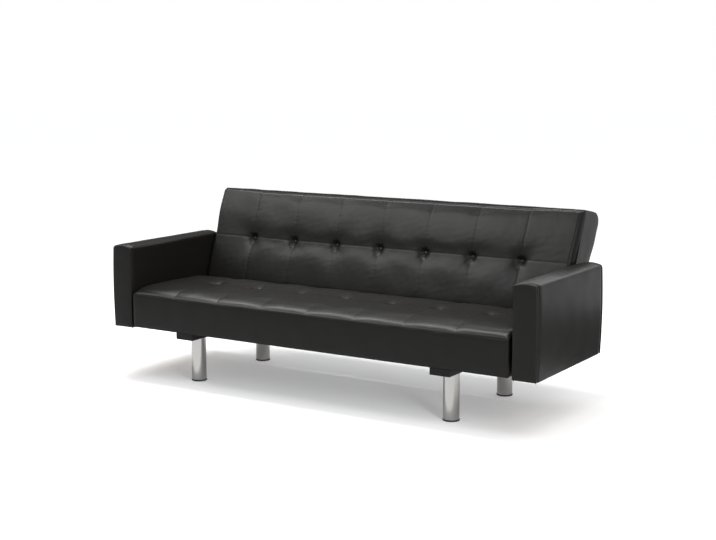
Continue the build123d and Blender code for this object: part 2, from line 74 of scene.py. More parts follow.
def add_node(tree, kind, inputs=(), **settings):
    """Adds a node with its settings, and with what its inputs hold or are linked to.

    A node that is given for an input stands for its first output.
    """
    node = tree.nodes.new(kind)
    for name, value in settings.items():
        setattr(node, name, value)
    for socket, value in dict(inputs).items():
        value = value.outputs[0] if isinstance(value, bpy.types.Node) else value
        if isinstance(value, bpy.types.NodeSocket):
            tree.links.new(value, node.inputs[socket])
        else:
            node.inputs[socket].default_value = value
    return node


def blank_material(name):
    """A material with an empty node tree, and that tree."""
    material = bpy.data.materials.new(name)
    material.use_nodes = True
    material.node_tree.nodes.clear()
    return material, material.node_tree


def finish_nodes(material, *names):
    """Gives CAD nodes whose shape is right their finish."""
    for name in names:
        for slot in frame["nodes"][name].material_slots:
            slot.material = material


# Chrome plate shows the room softly, because the tube below was only belt polished before plating:
# fine rings around the tube, 1.5 mm apart, blur it unevenly.
chrome_plate, tree = blank_material("chrome_plate")
place = add_node(tree, "ShaderNodeTexCoord").outputs["Object"]
rings = add_node(tree, "ShaderNodeMapping", {"Vector": place, "Scale": (1 / 0.040, 1 / 0.040, 1 / 0.0015)})
polish = add_node(tree, "ShaderNodeTexNoise", {"Vector": rings, "Scale": 1.0, "Detail": 3.0})
blur = add_node(tree, "ShaderNodeMapRange", {"Value": polish, "To Min": 0.06, "To Max": 0.13})
scratches = add_node(tree, "ShaderNodeBump", {"Height": polish, "Strength": 0.15, "Distance": 0.0002})
shader = add_node(
    tree,
    "ShaderNodeBsdfPrincipled",
    {"Base Color": linear("#9a9997"), "Metallic": 1.0, "Roughness": blur, "Normal": scratches},
)
add_node(tree, "ShaderNodeOutputMaterial", {"Surface": shader})
finish_nodes(chrome_plate, "leg_front_left", "leg_front_right", "leg_rear_left", "leg_rear_right")

# Foot plugs and arm spacers are moulded in black polypropylene. The mould is spark eroded, which leaves
# a dull surface of grains about 0.4 mm across, drawn here at 0.8 mm.
moulded_plastic, tree = blank_material("moulded_black_polypropylene")
place = add_node(tree, "ShaderNodeTexCoord").outputs["Object"]
grain = add_node(tree, "ShaderNodeTexNoise", {"Vector": place, "Scale": 1 / 0.0008, "Detail": 2.0})
rub_and_crease_shade = add_node(tree, "ShaderNodeTexNoise", {"Vector": place, "Scale": 1 / 0.02, "Detail": 4.0})
dull = add_node(tree, "ShaderNodeMapRange", {"Value": rub_and_crease_shade, "To Min": 0.42, "To Max": 0.62})
erosion = add_node(tree, "ShaderNodeBump", {"Height": grain, "Strength": 0.3, "Distance": 0.0002})
shader = add_node(
    tree,
    "ShaderNodeBsdfPrincipled",
    {"Base Color": linear("#191919"), "Roughness": dull, "IOR": 1.49, "Normal": erosion},
)
add_node(tree, "ShaderNodeOutputMaterial", {"Surface": shader})
finish_nodes(moulded_plastic, "leg_feet", "arm_spacers")

# Two cross beams from front to back and a stretcher behind the seat carry the sofa on its legs.
# They are planed timber, sprayed black: the paint is satin, and the grain shows as faint ridges along it.
black_paint, tree = blank_material("black_painted_timber")
place = add_node(tree, "ShaderNodeTexCoord").outputs["Object"]
grain_run = add_node(
    tree, "ShaderNodeMapping", {"Vector": place, "Scale": (1 / 0.004, 1 / 0.12, 1 / 0.004)}
)
grain = add_node(tree, "ShaderNodeTexNoise", {"Vector": grain_run, "Scale": 1.0, "Detail": 5.0})
tint = add_node(
    tree, "ShaderNodeMix", {0: grain, 6: linear("#0e0d0d"), 7: linear("#171615")}, data_type="RGBA"
)
sheen = add_node(tree, "ShaderNodeMapRange", {"Value": grain, "To Min": 0.42, "To Max": 0.6})
ridges = add_node(tree, "ShaderNodeBump", {"Height": grain, "Strength": 0.35, "Distance": 0.0005})
shader = add_node(
    tree,
    "ShaderNodeBsdfPrincipled",
    {"Base Color": tint.outputs[2], "Roughness": sheen, "IOR": 1.22, "Normal": ridges},
)
add_node(tree, "ShaderNodeOutputMaterial", {"Surface": shader})
finish_nodes(black_paint, "cross_beam_left", "cross_beam_right", "rear_stretcher")

# Bolts, studs and screws are bright zinc-plated steel, turned and rolled: a grey, slightly mottled metal.
# The stamped plates, ratchets, pawls, springs and pins of the click-clack hinges have the same plating.
zinc_plate, tree = blank_material("zinc_plated_steel")
place = add_node(tree, "ShaderNodeTexCoord").outputs["Object"]
mottle = add_node(tree, "ShaderNodeTexNoise", {"Vector": place, "Scale": 1 / 0.006, "Detail": 6.0})
tint = add_node(
    tree, "ShaderNodeMix", {0: mottle, 6: linear("#8d9096"), 7: linear("#b4b3ac")}, data_type="RGBA"
)
blur = add_node(tree, "ShaderNodeMapRange", {"Value": mottle, "To Min": 0.28, "To Max": 0.5})
pits = add_node(tree, "ShaderNodeBump", {"Height": mottle, "Strength": 0.2, "Distance": 0.0002})
shader = add_node(
    tree,
    "ShaderNodeBsdfPrincipled",
    {"Base Color": tint.outputs[2], "Metallic": 1.0, "Roughness": blur, "Normal": pits},
)
add_node(tree, "ShaderNodeOutputMaterial", {"Surface": shader})
finish_nodes(zinc_plate, "beam_bolts", "leg_studs", "arm_bolts", "seat_hinge_screws", "back_hinge_screws")
finish_nodes(zinc_plate, "hinge_pins", "hinge_ratchets", "pawl_pins")
for side in ("left", "right"):
    finish_nodes(zinc_plate, f"hinge_seat_plate_{side}", f"hinge_back_plate_{side}")
    finish_nodes(zinc_plate, f"hinge_pawl_{side}", f"pawl_spring_{side}")


# Frames of seat and back: rails, posts and uprights of sawn spruce, glued and stapled under the covers.
# Spruce has pale early wood and darker late wood in rings some 4 mm apart that run out along the piece.
def spruce(name, grain_axis, lean=0.0):
    """Sawn spruce whose grain runs along one axis of the sofa, or leans with the back."""
    material, tree = blank_material(name)
    place = add_node(tree, "ShaderNodeTexCoord").outputs["Object"]
    turned = add_node(tree, "ShaderNodeMapping", {"Vector": place, "Rotation": (lean, 0.0, 0.0)})
    stretch = [1 / 0.012] * 3
    stretch[grain_axis] = 1 / 0.30
    run = add_node(tree, "ShaderNodeMapping", {"Vector": turned, "Scale": stretch})
    rings = add_node(
        tree, "ShaderNodeTexNoise", {"Vector": run, "Scale": 1.0, "Detail": 6.0, "Distortion": 1.2}
    )
    tint = add_node(tree, "ShaderNodeValToRGB", {"Fac": rings})
    for stop, at, shade in zip(tint.color_ramp.elements, (0.35, 0.65), ("#b98f5b", "#e2c79c")):
        stop.position, stop.color = at, linear(shade)
    saw = add_node(tree, "ShaderNodeBump", {"Height": rings, "Strength": 0.4, "Distance": 0.0006})
    shader = add_node(
        tree, "ShaderNodeBsdfPrincipled", {"Base Color": tint, "Roughness": 0.75, "Normal": saw}
    )
    add_node(tree, "ShaderNodeOutputMaterial", {"Surface": shader})
    return material


back_lean = math.radians(20.4)
spruce_rail = spruce("sawn_spruce_rail", grain_axis=0)
spruce_end = spruce("sawn_spruce_end", grain_axis=1)
spruce_post = spruce("sawn_spruce_post", grain_axis=2, lean=back_lean)
finish_nodes(spruce_rail, "seat_front_rail", "seat_rear_rail", "back_bottom_rail", "back_top_rail")
finish_nodes(spruce_end, "seat_end_rail_left", "seat_end_rail_right", "seat_cross_rails")
finish_nodes(spruce_post, "back_end_post_left", "back_end_post_right", "back_uprights")


# Elastic webbing over the seat frame and over the back frame: straps 60 mm wide, stretched and stapled.
# Each is woven of rubber cores in black and grey yarn, so it has ribs along it and a fine weft across.
def new_piece(name, points, faces, material):
    """A closed mesh with outward faces, smooth shaded."""
    mesh = bpy.data.meshes.new(name)
    mesh.from_pydata(np.asarray(points, float).reshape(-1, 3).tolist(), [], faces)
    shell = bmesh.new()
    shell.from_mesh(mesh)
    bmesh.ops.remove_doubles(shell, verts=shell.verts, dist=1e-6)
    bmesh.ops.recalc_face_normals(shell, faces=shell.faces)
    shell.to_mesh(mesh)
    shell.free()
    mesh.shade_smooth()
    mesh.materials.append(material)
    piece = bpy.data.objects.new(name, mesh)
    scene.collection.objects.link(piece)
    return piece


def grid_faces(rows, columns, first=0, flip=False):
    """Quads of a grid of points that is stored row by row."""
    quads = []
    for r in range(rows - 1):
        for c in range(columns - 1):
            a = first + r * columns + c
            quad = (a, a + 1, a + columns + 1, a + columns)
            quads.append(quad[::-1] if flip else quad)
    return quads


def shell_faces(rows, columns):
    """Faces of a closed slab: an outer grid, an inner grid after it, and the walls between their edges."""
    inner = rows * columns
    faces = grid_faces(rows, columns) + grid_faces(rows, columns, inner, flip=True)
    rim = list(range(columns))
    rim += [r * columns + columns - 1 for r in range(1, rows)]
    rim += [(rows - 1) * columns + c for c in range(columns - 2, -1, -1)]
    rim += [r * columns for r in range(rows - 2, 0, -1)]
    for a, b in zip(rim, rim[1:] + rim[:1]):
        faces.append((b, a, a + inner, b + inner))
    return faces


def settle(piece, body, nodes=()):
    """Puts a piece on its body and in place of CAD nodes, which it hides."""
    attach(piece, body)
    if nodes:
        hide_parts(*nodes)


def lean(points):
    """Places of the back: x, s up along its front face from its foot, v out of that face.

    The cover is full at the head, so the back widens by a few millimetres above the hinges.
    """
    pivot = next(joint for joint in frame["joints"] if joint["name"] == "back_fold")["pos_m"]
    foot, face = 0.030, 0.0485  # from the pivot down to the foot, and out to the front face
    x, s, v = np.moveaxis(np.asarray(points, float), -1, 0)
    hinge_top, rise_over, widening = 0.25, 0.15, 0.0085
    rise = np.clip((s - hinge_top) / rise_over, 0, 1)
    x = x * (1 + widening * rise**2 * (3 - 2 * rise))
    y = pivot[1] + (s - foot) * math.sin(back_lean) - (face + v) * math.cos(back_lean)
    z = pivot[2] + (s - foot) * math.cos(back_lean) + (face + v) * math.sin(back_lean)
    return np.stack([x, y, z], axis=-1)


strap_count, strap_width, strap_thickness, strap_ribs, strap_sag = 8, 0.060, 0.0015, 10, 0.0040
weft_pitch = 0.0016
woven_webbing, tree = blank_material("woven_elastic_webbing")
place = add_node(tree, "ShaderNodeTexCoord").outputs["Object"]
rib_pitch = strap_width / strap_ribs
weft = add_node(
    tree,
    "ShaderNodeTexWave",
    {"Vector": place, "Scale": 2 * math.pi / (20 * weft_pitch), "Distortion": 0.4},
    bands_direction="Y",
)
yarn = add_node(
    tree,
    "ShaderNodeTexWave",
    {"Vector": place, "Scale": 2 * math.pi / (20 * rib_pitch)},
    bands_direction="X",
)
tint = add_node(
    tree,
    "ShaderNodeMix",
    {0: yarn.outputs["Fac"], 6: linear("#17171a"), 7: linear("#5a5852")},
    data_type="RGBA",
)
cross = add_node(tree, "ShaderNodeMath", {0: yarn.outputs["Fac"], 1: weft.outputs["Fac"]}, operation="ADD")
weave = add_node(tree, "ShaderNodeBump", {"Height": cross, "Strength": 0.5, "Distance": 0.0005})
shader = add_node(
    tree,
    "ShaderNodeBsdfPrincipled",
    {"Base Color": tint.outputs[2], "Roughness": 0.85, "Sheen Weight": 0.3, "Normal": weave},
)
add_node(tree, "ShaderNodeOutputMaterial", {"Surface": shader})


def webbing(name, node, span, level, placed, body):
    """Straps side by side in the space of a CAD node, each sagging a little between the rails."""
    low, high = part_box(node)
    middles = np.linspace(low.x + strap_width / 2, high.x - strap_width / 2, strap_count)
    across = np.linspace(-0.5, 0.5, 2 * strap_ribs + 1)
    along = np.linspace(0, 1, 33)
    rib = 0.0002 * np.cos(np.arange(len(across)) * math.pi)
    points, faces = [], []
    for middle in middles:
        first = len(points) * 2 * len(across) * len(along)
        sag = -strap_sag * np.sin(along * math.pi) ** 2
        top = np.zeros((len(along), len(across), 3))
        top[..., 0] = middle + across * strap_width
        top[..., 1] = (span[0] + along * (span[1] - span[0]))[:, None]
        top[..., 2] = level + sag[:, None] + rib
        under = top - (0, 0, strap_thickness)
        points.append(np.concatenate([top.reshape(-1, 3), under.reshape(-1, 3)]))
        faces += [tuple(first + i for i in face) for face in shell_faces(len(along), len(across))]
    straps = new_piece(name, placed(np.concatenate(points)), faces, woven_webbing)
    settle(straps, body, [node])


rail_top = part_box("seat_webbing")[1].z
seat_strap_span, back_strap_span, back_strap_level = (front + 0.012, front + 0.474), (0.012, 0.452), -0.0700
webbing("seat_straps", "seat_webbing", seat_strap_span, rail_top, lambda p: p, "base")
webbing("back_straps", "back_webbing", back_strap_span, back_strap_level, lean, "back")

# Dust cover: a black non-woven cloth stapled to the underside of the seat frame, above the cross beams.
# It is spun polypropylene with small bonded dots, pulled tight by hand, and it hangs a little.
dust_low, dust_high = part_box("seat_dust_cover")
dust_cloth, tree = blank_material("spun_polypropylene_cloth")
place = add_node(tree, "ShaderNodeTexCoord").outputs["Object"]
dots = add_node(tree, "ShaderNodeTexVoronoi", {"Vector": place, "Scale": 1 / 0.0020, "Randomness": 0.2})
fibres = add_node(tree, "ShaderNodeTexNoise", {"Vector": place, "Scale": 1 / 0.012, "Detail": 8.0})
tint = add_node(
    tree, "ShaderNodeMix", {0: fibres, 6: linear("#101010"), 7: linear("#232322")}, data_type="RGBA"
)
bonds = add_node(tree, "ShaderNodeBump", {"Height": dots, "Strength": 0.4, "Distance": 0.0004})
shader = add_node(
    tree,
    "ShaderNodeBsdfPrincipled",
    {"Base Color": tint.outputs[2], "Roughness": 0.9, "Sheen Weight": 0.2, "Normal": bonds},
)
add_node(tree, "ShaderNodeOutputMaterial", {"Surface": shader})
beam_middle, beam_grip, easing = 0.609, 0.070, 0.10
staple_pitch, cloth_sag, cloth_thickness = 0.060, 0.0075, 0.0006
cloth_x = np.linspace(dust_low.x, dust_high.x, 161)
cloth_y = np.linspace(dust_low.y, dust_high.y, 45)
grid_y, grid_x = np.meshgrid(cloth_y, cloth_x, indexing="ij")
share_y = (grid_y - dust_low.y) / (dust_high.y - dust_low.y)
from_beam = np.abs(np.abs(grid_x) - beam_middle)
from_end = dust_high.x - np.abs(grid_x)
free = np.clip((from_beam - beam_grip) / easing, 0, 1) * np.clip(from_end / easing, 0, 1)
scallop = 0.0006 * np.cos(grid_x / staple_pitch * 2 * math.pi) * np.exp(-share_y * (1 - share_y) / 0.04)
sag = free * (cloth_sag * np.sin(share_y * math.pi) + scallop)
cloth_top = np.stack([grid_x, grid_y, dust_high.z - 0.0002 - sag], axis=-1)
cloth_under = cloth_top - (0, 0, cloth_thickness)
dust_cover = new_piece(
    "seat_dust_cloth",
    np.concatenate([cloth_top.reshape(-1, 3), cloth_under.reshape(-1, 3)]),
    shell_faces(len(cloth_y), len(cloth_x)),
    dust_cloth,
)
settle(dust_cover, "base", ["seat_dust_cover"])

# Border panels of the seat: strips of the cover over thin foam on the rails, sewn to the pad above.
# All covers are black faux leather: polyurethane on a knitted back, embossed with a fine pebble grain.
faux_leather, tree = blank_material("black_polyurethane_leather")
place = add_node(tree, "ShaderNodeTexCoord").outputs["Object"]
# The emboss is about 1 mm from pebble to pebble; it is drawn at 2.2 mm so that it shows at all.
pebbles = add_node(
    tree, "ShaderNodeTexVoronoi", {"Vector": place, "Scale": 1 / 0.0022}, feature="SMOOTH_F1"
)
creases = add_node(
    tree,
    "ShaderNodeTexNoise",
    {"Vector": place, "Scale": 1 / 0.018, "Detail": 7.0, "Roughness": 0.62, "Distortion": 0.6},
)
blotches = add_node(tree, "ShaderNodeTexNoise", {"Vector": place, "Scale": 1 / 0.16, "Detail": 3.0})
rub_and_crease_shade_mask = add_node(tree, "ShaderNodeAttribute", attribute_name="rub_and_crease_shade")
# The leather is lighter and glossier where it is rubbed on the full places, and darker in creases, pleats
# and at seams: that darkening is painted shade.
tint = add_node(
    tree,
    "ShaderNodeMix",
    {0: rub_and_crease_shade_mask.outputs["Fac"], 6: linear("#100f0e"), 7: linear("#1b1a19")},
    data_type="RGBA",
)
gloss = add_node(tree, "ShaderNodeMapRange", {"Value": blotches, "To Min": 0.28, "To Max": 0.36})
dry = add_node(tree, "ShaderNodeMapRange", {"Value": rub_and_crease_shade_mask.outputs["Fac"], "To Min": 0.10, "To Max": -0.03})
roughness = add_node(tree, "ShaderNodeMath", {0: gloss, 1: dry}, operation="ADD")
wrinkle = add_node(tree, "ShaderNodeBump", {"Height": creases, "Strength": 0.10, "Distance": 0.0010})
emboss = add_node(
    tree, "ShaderNodeBump", {"Height": pebbles, "Strength": 0.12, "Distance": 0.0008, "Normal": wrinkle}
)
shader = add_node(
    tree,
    "ShaderNodeBsdfPrincipled",
    {"Base Color": tint.outputs[2], "Roughness": roughness, "IOR": 1.21, "Normal": emboss},
)
add_node(tree, "ShaderNodeOutputMaterial", {"Surface": shader})


def store_rub_and_crease_shade(piece, amounts):
    """Stores how much each point is rubbed and shaded: 1 on full, polished places, 0 in creases and at
    seams, where the leather's colour is painted darker as shade.
    """
    layer = piece.data.attributes.new("rub_and_crease_shade", "FLOAT", "POINT")
    layer.data.foreach_set("value", np.clip(amounts, 0, 1).astype(np.float32).ravel())


def ripples(a, b, length, seed, stretch=1.0):
    """Soft unevenness of hand-pulled cover over foam, between -1 and 1: waves of about one length."""
    draw = np.random.default_rng(seed)
    total = np.zeros(np.broadcast(a, b).shape)
    for _ in range(26):
        turn, phase = draw.uniform(0, 2 * math.pi, 2)
        wave = length * 2 ** draw.uniform(-0.7, 0.9)
        reach = 2 * math.pi / wave
        total += np.sin(reach * (a * math.cos(turn) + b * math.sin(turn) / stretch) + phase)
    return total / 5.0


def resample(path, step):
    """Points a step apart along a line."""
    path = np.asarray(path, float)
    run = np.concatenate([[0], np.cumsum(np.linalg.norm(np.diff(path, axis=0), axis=1))])
    even = np.linspace(0, run[-1], max(3, round(run[-1] / step) + 1))
    return np.stack([np.interp(even, run, path[:, i]) for i in range(path.shape[1])], axis=1)


def seam_close(stations):
    """Stations with two more close to either end, where the cover turns in to its seam."""
    first, last = stations[:2], stations[-2:]
    near = [first[0] + k * (first[1] - first[0]) for k in (0.3, 0.65)]
    far = [last[0] + k * (last[1] - last[0]) for k in (0.35, 0.7)]
    return np.concatenate([stations[:1], near, stations[1:-1], far, stations[-1:]])


def padded_strip(name, path, span, place, bulge, seed, body, node, swell=0.0006, thick=0.008, groove=0.0):
    """A sewn strip of cover over foam: it follows a path of (a, b) and runs from end to end of a span.

    It swells out of the path by the bulge, and a groove draws it in at the seams at the ends of the span.
    """
    step, seam_reach = 0.006, 0.005
    line = seam_close(resample(path, step))
    direction = np.gradient(line, axis=0)
    direction /= np.linalg.norm(direction, axis=1)[:, None]
    outward = np.stack([-direction[:, 1], direction[:, 0]], axis=1)
    along = seam_close(resample([[span[0], 0], [span[1], 0]], step)[:, 0])
    over = np.concatenate([[0], np.cumsum(np.linalg.norm(np.diff(line, axis=0), axis=1))])
    across, run = np.meshgrid(over, along, indexing="ij")
    from_edge = np.minimum(across, over[-1] - across)
    from_end = np.minimum(run - span[0], span[1] - run)
    hold = 1 - np.exp(-((np.minimum(from_edge, from_end) / seam_reach) ** 1.2))
    drawn = groove * np.exp(-((from_end / 0.009) ** 1.8))
    crown = 0.55 + 0.45 * (1 - (2 * across / over[-1] - 1) ** 2)
    wave = swell * ripples(across, run, 0.16, seed)
    wave += 0.25 * swell * ripples(across, run, 0.05, seed + 1, 2.5)
    pucker = 0.0002 * np.sin(run / 0.011 * 2 * math.pi) * np.exp(-from_edge / 0.010)
    height = hold * (bulge * crown + wave + pucker) - drawn
    outer = line[:, None, :] + outward[:, None, :] * height[..., None]
    inner = np.broadcast_to((line - outward * thick)[:, None, :], outer.shape)
    points = np.concatenate([place(run, g[..., 0], g[..., 1]).reshape(-1, 3) for g in (outer, inner)])
    strip = new_piece(name, points, shell_faces(*run.shape), faux_leather)
    # Near its seams and edges the strip is painted darker: painted shade.
    store_rub_and_crease_shade(strip, np.concatenate([hold.ravel() * 0.55, np.zeros(hold.size)]))
    settle(strip, body, [node])


def along_x(run, a, b):
    """Places of a strip that runs from left to right, with its path in depth and height."""
    return np.stack([run, a, b], axis=-1)


def along_y(run, a, b):
    """Places of a strip that runs from front to back, with its path in x and height."""
    return np.stack([a, run, b], axis=-1)


border_inset = 0.003  # the seams lie this far behind the faces of the CAD panels
low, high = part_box("seat_front_panel")
y = low.y + border_inset
line = [(y, low.z), (y, high.z)]
padded_strip("seat_front_border", line, (low.x, high.x), along_x, 0.0045, 11, "base", "seat_front_panel")
low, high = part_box("seat_rear_panel")
y = high.y - border_inset
line = [(y, high.z), (y, low.z)]
padded_strip("seat_rear_border", line, (low.x, high.x), along_x, 0.0035, 12, "base", "seat_rear_panel")
for side, sign, seed in (("left", -1, 13), ("right", 1, 14)):
    low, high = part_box(f"seat_end_panel_{side}")
    x = sign * (high.x - border_inset if sign > 0 else -low.x - border_inset)
    heights = (high.z, low.z) if sign > 0 else (low.z, high.z)
    padded_strip(
        f"seat_end_border_{side}",
        [(x, heights[0]), (x, heights[1])],
        (low.y, high.y),
        along_y,
        bulge=0.0018,
        seed=seed,
        body="base",
        node=f"seat_end_panel_{side}",
        swell=0.0003,
    )


# Seat cushion: foam under a cover sewn of eight panels, drawn down by one row of seven buttons.
# The cover is cut a little larger than the foam, so it swells between seams and is pleated at each button.
def stations(stops, run, step):
    """Places from seam to seam with a station on every stop, close together on the rolled edges, and the
    share of the full height that the roll has there."""
    turn = np.linspace(0, math.pi / 2, 11)
    roll, share = run * (1 - np.cos(turn)), np.sin(turn)
    first, last = stops[0] + run, stops[-1] - run
    knots = [first] + [stop for stop in stops[1:-1] if first < stop < last] + [last]
    flat = [first]
    for a, b in zip(knots, knots[1:]):
        flat += np.linspace(a, b, max(2, round((b - a) / step)) + 1)[1:].tolist()
    places = np.concatenate([stops[0] + roll[:-1], flat, (stops[-1] - roll[:-1])[::-1]])
    shares = np.concatenate([share[:-1], np.ones(len(flat)), share[:-1][::-1]])
    return places, shares


def finer(grid):
    """A grid of points with one more smooth point between each two, along its rows and columns."""
    for axis in (0, 1):
        g = np.moveaxis(grid, axis, 0)
        ends = np.concatenate([2 * g[:1] - g[1:2], g, 2 * g[-1:] - g[-2:-1]])
        between = (9 * (ends[1:-2] + ends[2:-1]) - ends[:-3] - ends[3:]) / 16
        fine = np.empty((2 * len(g) - 1,) + g.shape[1:])
        fine[0::2], fine[1::2] = g, between
        grid = np.moveaxis(fine, 0, axis)
    return grid


def swell(points, held, pressure, slack, cap):
    """Cloth simulation of a cover over its foam: air fills it while seams and buttons hold it back."""
    rows, columns, _ = points.shape
    mesh = bpy.data.meshes.new("cover_pattern")
    mesh.from_pydata(points.reshape(-1, 3).tolist(), [], grid_faces(rows, columns))
    cover = bpy.data.objects.new("cover_pattern", mesh)
    scene.collection.objects.link(cover)
    group = cover.vertex_groups.new(name="held")
    for index, weight in enumerate(held.ravel().tolist()):
        if weight > 0:
            group.add([index], weight, "REPLACE")
    cloth = cover.modifiers.new("cover", "CLOTH")
    leather = cloth.settings
    leather.quality = 5
    leather.mass = 0.3
    leather.tension_stiffness = leather.compression_stiffness = 25.0
    leather.shear_stiffness = 12.0
    leather.bending_stiffness = 4.0
    leather.air_damping = 2.0
    leather.use_pressure = True
    leather.uniform_pressure_force = pressure
    leather.shrink_min = -slack
    leather.vertex_group_mass = "held"
    leather.pin_stiffness = 1.0
    leather.effector_weights.gravity = 0.0
    cloth.collision_settings.use_collision = False
    last_frame = 22
    cloth.point_cache.frame_end = last_frame
    for moment in range(1, last_frame + 1):
        scene.frame_set(moment)
    filled = cover.evaluated_get(bpy.context.evaluated_depsgraph_get()).to_mesh()
    result = np.empty(points.size)
    filled.vertices.foreach_get("co", result)
    bpy.data.objects.remove(cover)
    bpy.data.meshes.remove(mesh)
    scene.frame_set(1)
    move = result.reshape(points.shape) - points
    for axis in (0, 1) * 18:  # foam under the cover evens out the smaller folds
        m = np.moveaxis(move, axis, 0)
        m[1:-1] = (m[:-2] + 2 * m[1:-1] + m[2:]) / 4
    far = np.maximum(np.linalg.norm(move, axis=-1, keepdims=True), 1e-9)
    return points + move * cap * np.tanh(far / cap) / far


def tufted_cushion(
    name, half, length, lip, roll, tuft, rise, crown, nip, valley, sink, gather, fans, placed, seed
):
    """A tufted cushion and its button dips, drawn in its own plane: x along it, s across and v out of it.

    Its edges roll over to the lip below. At the row of buttons it sinks and gathers, along that row it has a
    valley, and at the outer ends of its seams it is nipped in. The fans are how steep a dip rises on its far
    and near side and beside it.
    """
    inset, step, panels, end_roll = 0.0025, 0.0063, 8, 0.020
    valley_reach, dip_core, dip_skirt, nip_reach = 0.065, 0.018, 0.044, 0.050
    panel = 2 * half / panels
    seams = [-half + panel * k for k in range(1, panels)]
    x, share_x = stations([-half] + seams + [half], end_roll, step)
    s, share_s = stations([0, tuft, length], roll, step)
    grid_s, grid_x = np.meshgrid(s, x, indexing="ij")
    lift = share_s[:, None] * share_x
    full = 1 - np.abs(((grid_x + half) / panel) % 1 * 2 - 1) ** 3
    middle = 2 * grid_s / length - 1
    row = np.exp(-(((grid_s - tuft) / valley_reach) ** 2))
    reach = np.min([np.hypot(grid_x - seam, grid_s - tuft) for seam in seams], axis=0)
    far, near, beside = fans
    fan = np.where(grid_s > tuft, far, near) * (grid_s - tuft)
    drawn = np.min([np.hypot(beside * (grid_x - seam), fan) for seam in seams], axis=0)
    pull = 0.62 * np.exp(-((drawn / dip_core) ** 2)) + 0.38 * np.exp(-((drawn / dip_skirt) ** 1.3))
    edge = np.exp(-np.minimum(grid_s, length - grid_s) / nip_reach)
    height = rise + crown * (1 - np.abs(middle) ** 3) - (0.0005 + nip * edge) * (1 - full)
    height += -valley * row * (0.6 + 0.4 * (1 - full)) - sink * pull
    inner_s = inset + grid_s * (1 - 2 * inset / length)
    points = np.stack([grid_x, inner_s, -lip + lift * (height + lip)], axis=-1)
    button_grip, calm_start, calm_over = 0.013, 0.03, 0.12
    held = np.where(reach < button_grip, 1.0, 0.0)
    held[[0, -1], :] = held[:, [0, -1]] = 1.0
    filled = swell(points, held, pressure=1.5, slack=0.002, cap=0.004)
    # The end panels lie tighter than the rest, so little of the swelling is left on them.
    outer = np.clip((np.abs(grid_x) - seams[-1] + calm_start) / calm_over, 0, 1)
    calm = 1 - 0.8 * outer**2 * (3 - 2 * outer)
    points = points + (filled - points) * calm[..., None]
    points = finer(points)
    flat = finer(np.stack([grid_x, grid_s], axis=-1))
    fine_x, fine_s = flat[..., 0], flat[..., 1]
    fine_lift = np.clip(finer(lift[..., None])[..., 0], 0, 1)
    normal = np.cross(np.gradient(points, axis=1), np.gradient(points, axis=0))
    normal /= np.linalg.norm(normal, axis=-1, keepdims=True)
    from_seam = np.min([np.abs(fine_x - seam) for seam in seams], axis=0)
    from_row = np.abs(fine_s - tuft)
    stitch_depth, stitch_pull, pull_reach, pucker_pitch, pleat_count = 0.0007, 0.0002, 0.012, 0.019, 8
    groove = stitch_depth * np.exp(-((from_seam / 0.0032) ** 2))
    groove += stitch_pull * np.exp(-from_seam / pull_reach)
    groove += stitch_depth * np.exp(-((from_row / 0.0035) ** 2))
    pucker = 0.0001 * np.sin(fine_s / pucker_pitch * 2 * math.pi) * np.exp(-from_seam / pull_reach)
    draw = np.random.default_rng(seed)
    pleats = np.zeros(fine_x.shape)
    for seam in seams:
        away = np.hypot(fine_x - seam, fine_s - tuft)
        angle = np.arctan2(fine_s - tuft, fine_x - seam)
        even = np.linspace(0, 2 * math.pi, pleat_count + 1)[:-1]
        starts = even + draw.uniform(-0.22, 0.22, pleat_count)
        depths = draw.uniform(0.4, 1, pleat_count)
        widths = draw.uniform(0.12, 0.24, pleat_count)
        runs = draw.uniform(0.014, 0.030, pleat_count)
        for start, depth, width, run in zip(starts, depths, widths, runs):
            turn = np.abs((angle - start + math.pi) % (2 * math.pi) - math.pi)
            fold = np.exp(-((turn / width) ** 2)) * np.exp(-away / run) * np.clip(away / 0.012, 0, 1)
            pleats += gather * depth * fold
    wave = 0.0005 * ripples(fine_x, fine_s, 0.14, seed) + 0.0001 * ripples(fine_x, fine_s, 0.04, seed + 1)
    points = points + normal * (fine_lift * (pucker + wave - groove - pleats))[..., None]
    rows, columns = fine_x.shape
    faces = grid_faces(rows, columns)
    last = (rows - 1) * columns
    for c in range(1, columns - 2):
        faces.append((c + 1, c, last + c, last + c + 1))
    faces.append([0, 1, last + 1] + [r * columns for r in range(rows - 1, 0, -1)])
    end = columns - 1
    faces.append([end - 1, end] + [r * columns + end for r in range(1, rows)] + [last + end - 1])
    cushion = new_piece(name, placed(points), faces, faux_leather)
    # Seam grooves and button pleats are painted darker, which is painted shade; the full places are lighter
    # as rubbed, with a random tone over all.
    rubbed_and_crease_shaded = 0.75 - 130 * (groove + pleats) + 0.1 * ripples(fine_x, fine_s, 0.3, seed + 2)
    store_rub_and_crease_shade(cushion, rubbed_and_crease_shaded.ravel())
    dips = []
    for seam in seams:
        nearest = np.argmin(np.hypot(fine_x - seam, fine_s - tuft))
        dips.append(placed(points.reshape(-1, 3)[nearest]))
    return cushion, dips


def on_seat(points):
    """Places of the seat cushion: s back from the front face, v up from the seat level."""
    seat_level = 0.377
    return np.asarray(points, float) + (0.0, front, seat_level)


seat_cushion, seat_dips = tufted_cushion(
    "seat_cushion", half=0.888, length=0.486, lip=0.019, roll=0.050, tuft=0.300,
    rise=0.003, crown=0.010, nip=0.0045, valley=0.002, sink=0.0155, gather=0.0010,
    fans=(0.7, 0.8, 0.85), placed=on_seat, seed=21,
)
settle(seat_cushion, "base", ["seat_pad"])

